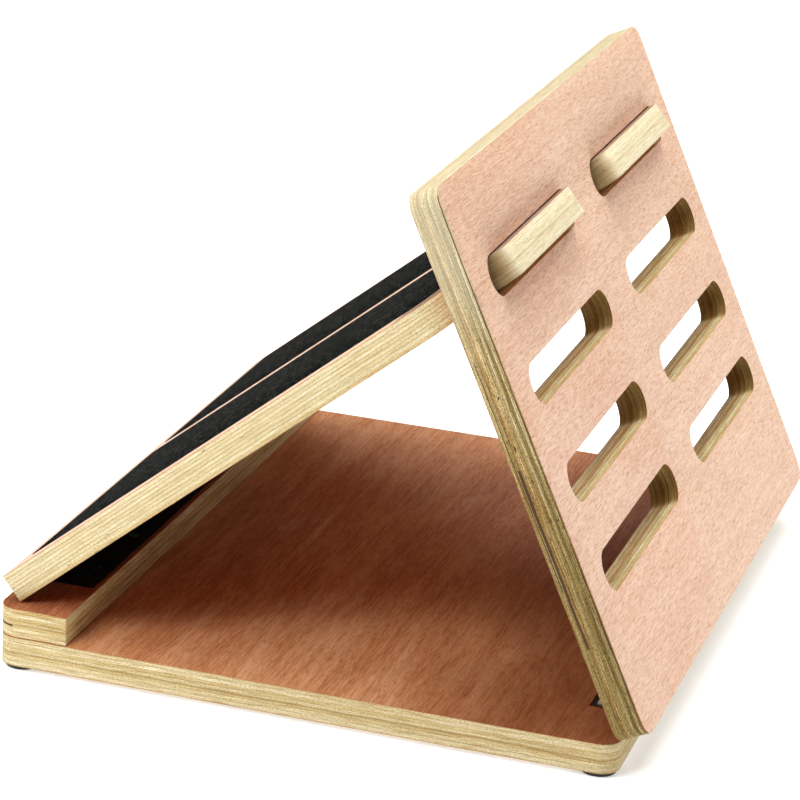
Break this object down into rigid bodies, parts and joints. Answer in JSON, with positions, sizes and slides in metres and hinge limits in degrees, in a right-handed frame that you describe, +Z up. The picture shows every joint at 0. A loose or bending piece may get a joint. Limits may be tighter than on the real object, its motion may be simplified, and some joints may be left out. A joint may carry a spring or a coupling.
{
  "type": "adjustable folding slant board",
  "caption": "Folding plywood slant board: an incline deck with grip strips, hinged on a base, its tongues held in a slotted hinged back support.",
  "frame": {"origin": "middle of the whole object's length and width, on the floor under the feet", "axes": "+X from the deck's low end towards the back support, +Y across the board from the near side edge to the far one, +Z up"},
  "size_m": [0.3926, 0.457, 0.3256],
  "materials": {
    "base_plywood": "matt lacquered veneer",
    "rail_plywood": "matt lacquered veneer",
    "support_plywood": "matt lacquered veneer",
    "deck_plywood": "matt lacquered veneer with pale ply edges",
    "grip_tape": "coarse black grit",
    "dark_hinge": "black coated steel",
    "steel_hinge": "plain steel",
    "screw_steel": "zinc plated",
    "foot_rubber": "matt rubber"
  },
  "bodies": {
    "stand": {"base_board": "base_plywood", "hinge_rail": "rail_plywood", "rail_screws": "screw_steel", "foot_front_left": "foot_rubber", "foot_front_right": "foot_rubber", "foot_rear_left": "foot_rubber", "foot_rear_right": "foot_rubber", "foot_screws": "screw_steel", "rail_hinge_lower_leaf": "dark_hinge", "rail_hinge_lower_screws": "screw_steel", "rail_hinge_pin": "dark_hinge", "base_hinge_lower_leaf": "steel_hinge", "base_hinge_lower_screws": "screw_steel", "base_hinge_pin": "steel_hinge"},
    "deck": {"deck_board": "deck_plywood", "grip_strip_front": "grip_tape", "grip_strip_rear": "grip_tape", "rail_hinge_upper_leaf": "dark_hinge", "rail_hinge_upper_screws": "screw_steel"},
    "support": {"back_support": "support_plywood", "base_hinge_upper_leaf": "steel_hinge", "base_hinge_upper_screws": "screw_steel"}
  },
  "joints": [
    {"name": "support_swing", "type": "hinge", "parent": "stand", "child": "support", "pos_m": [0.18, 0, 0.02125], "axis": [0, 1, 0], "range_deg": [0, 115.5]},
    {"name": "deck_tilt", "type": "hinge", "parent": "stand", "child": "deck", "pos_m": [-0.185, 0, 0.03925], "axis": [0, -1, 0], "range_deg": [-22.1, 0]}
  ],
  "couplings": [
    {"joint": "deck_tilt", "follows": "support_swing", "ratio": -0.19}
  ]
}
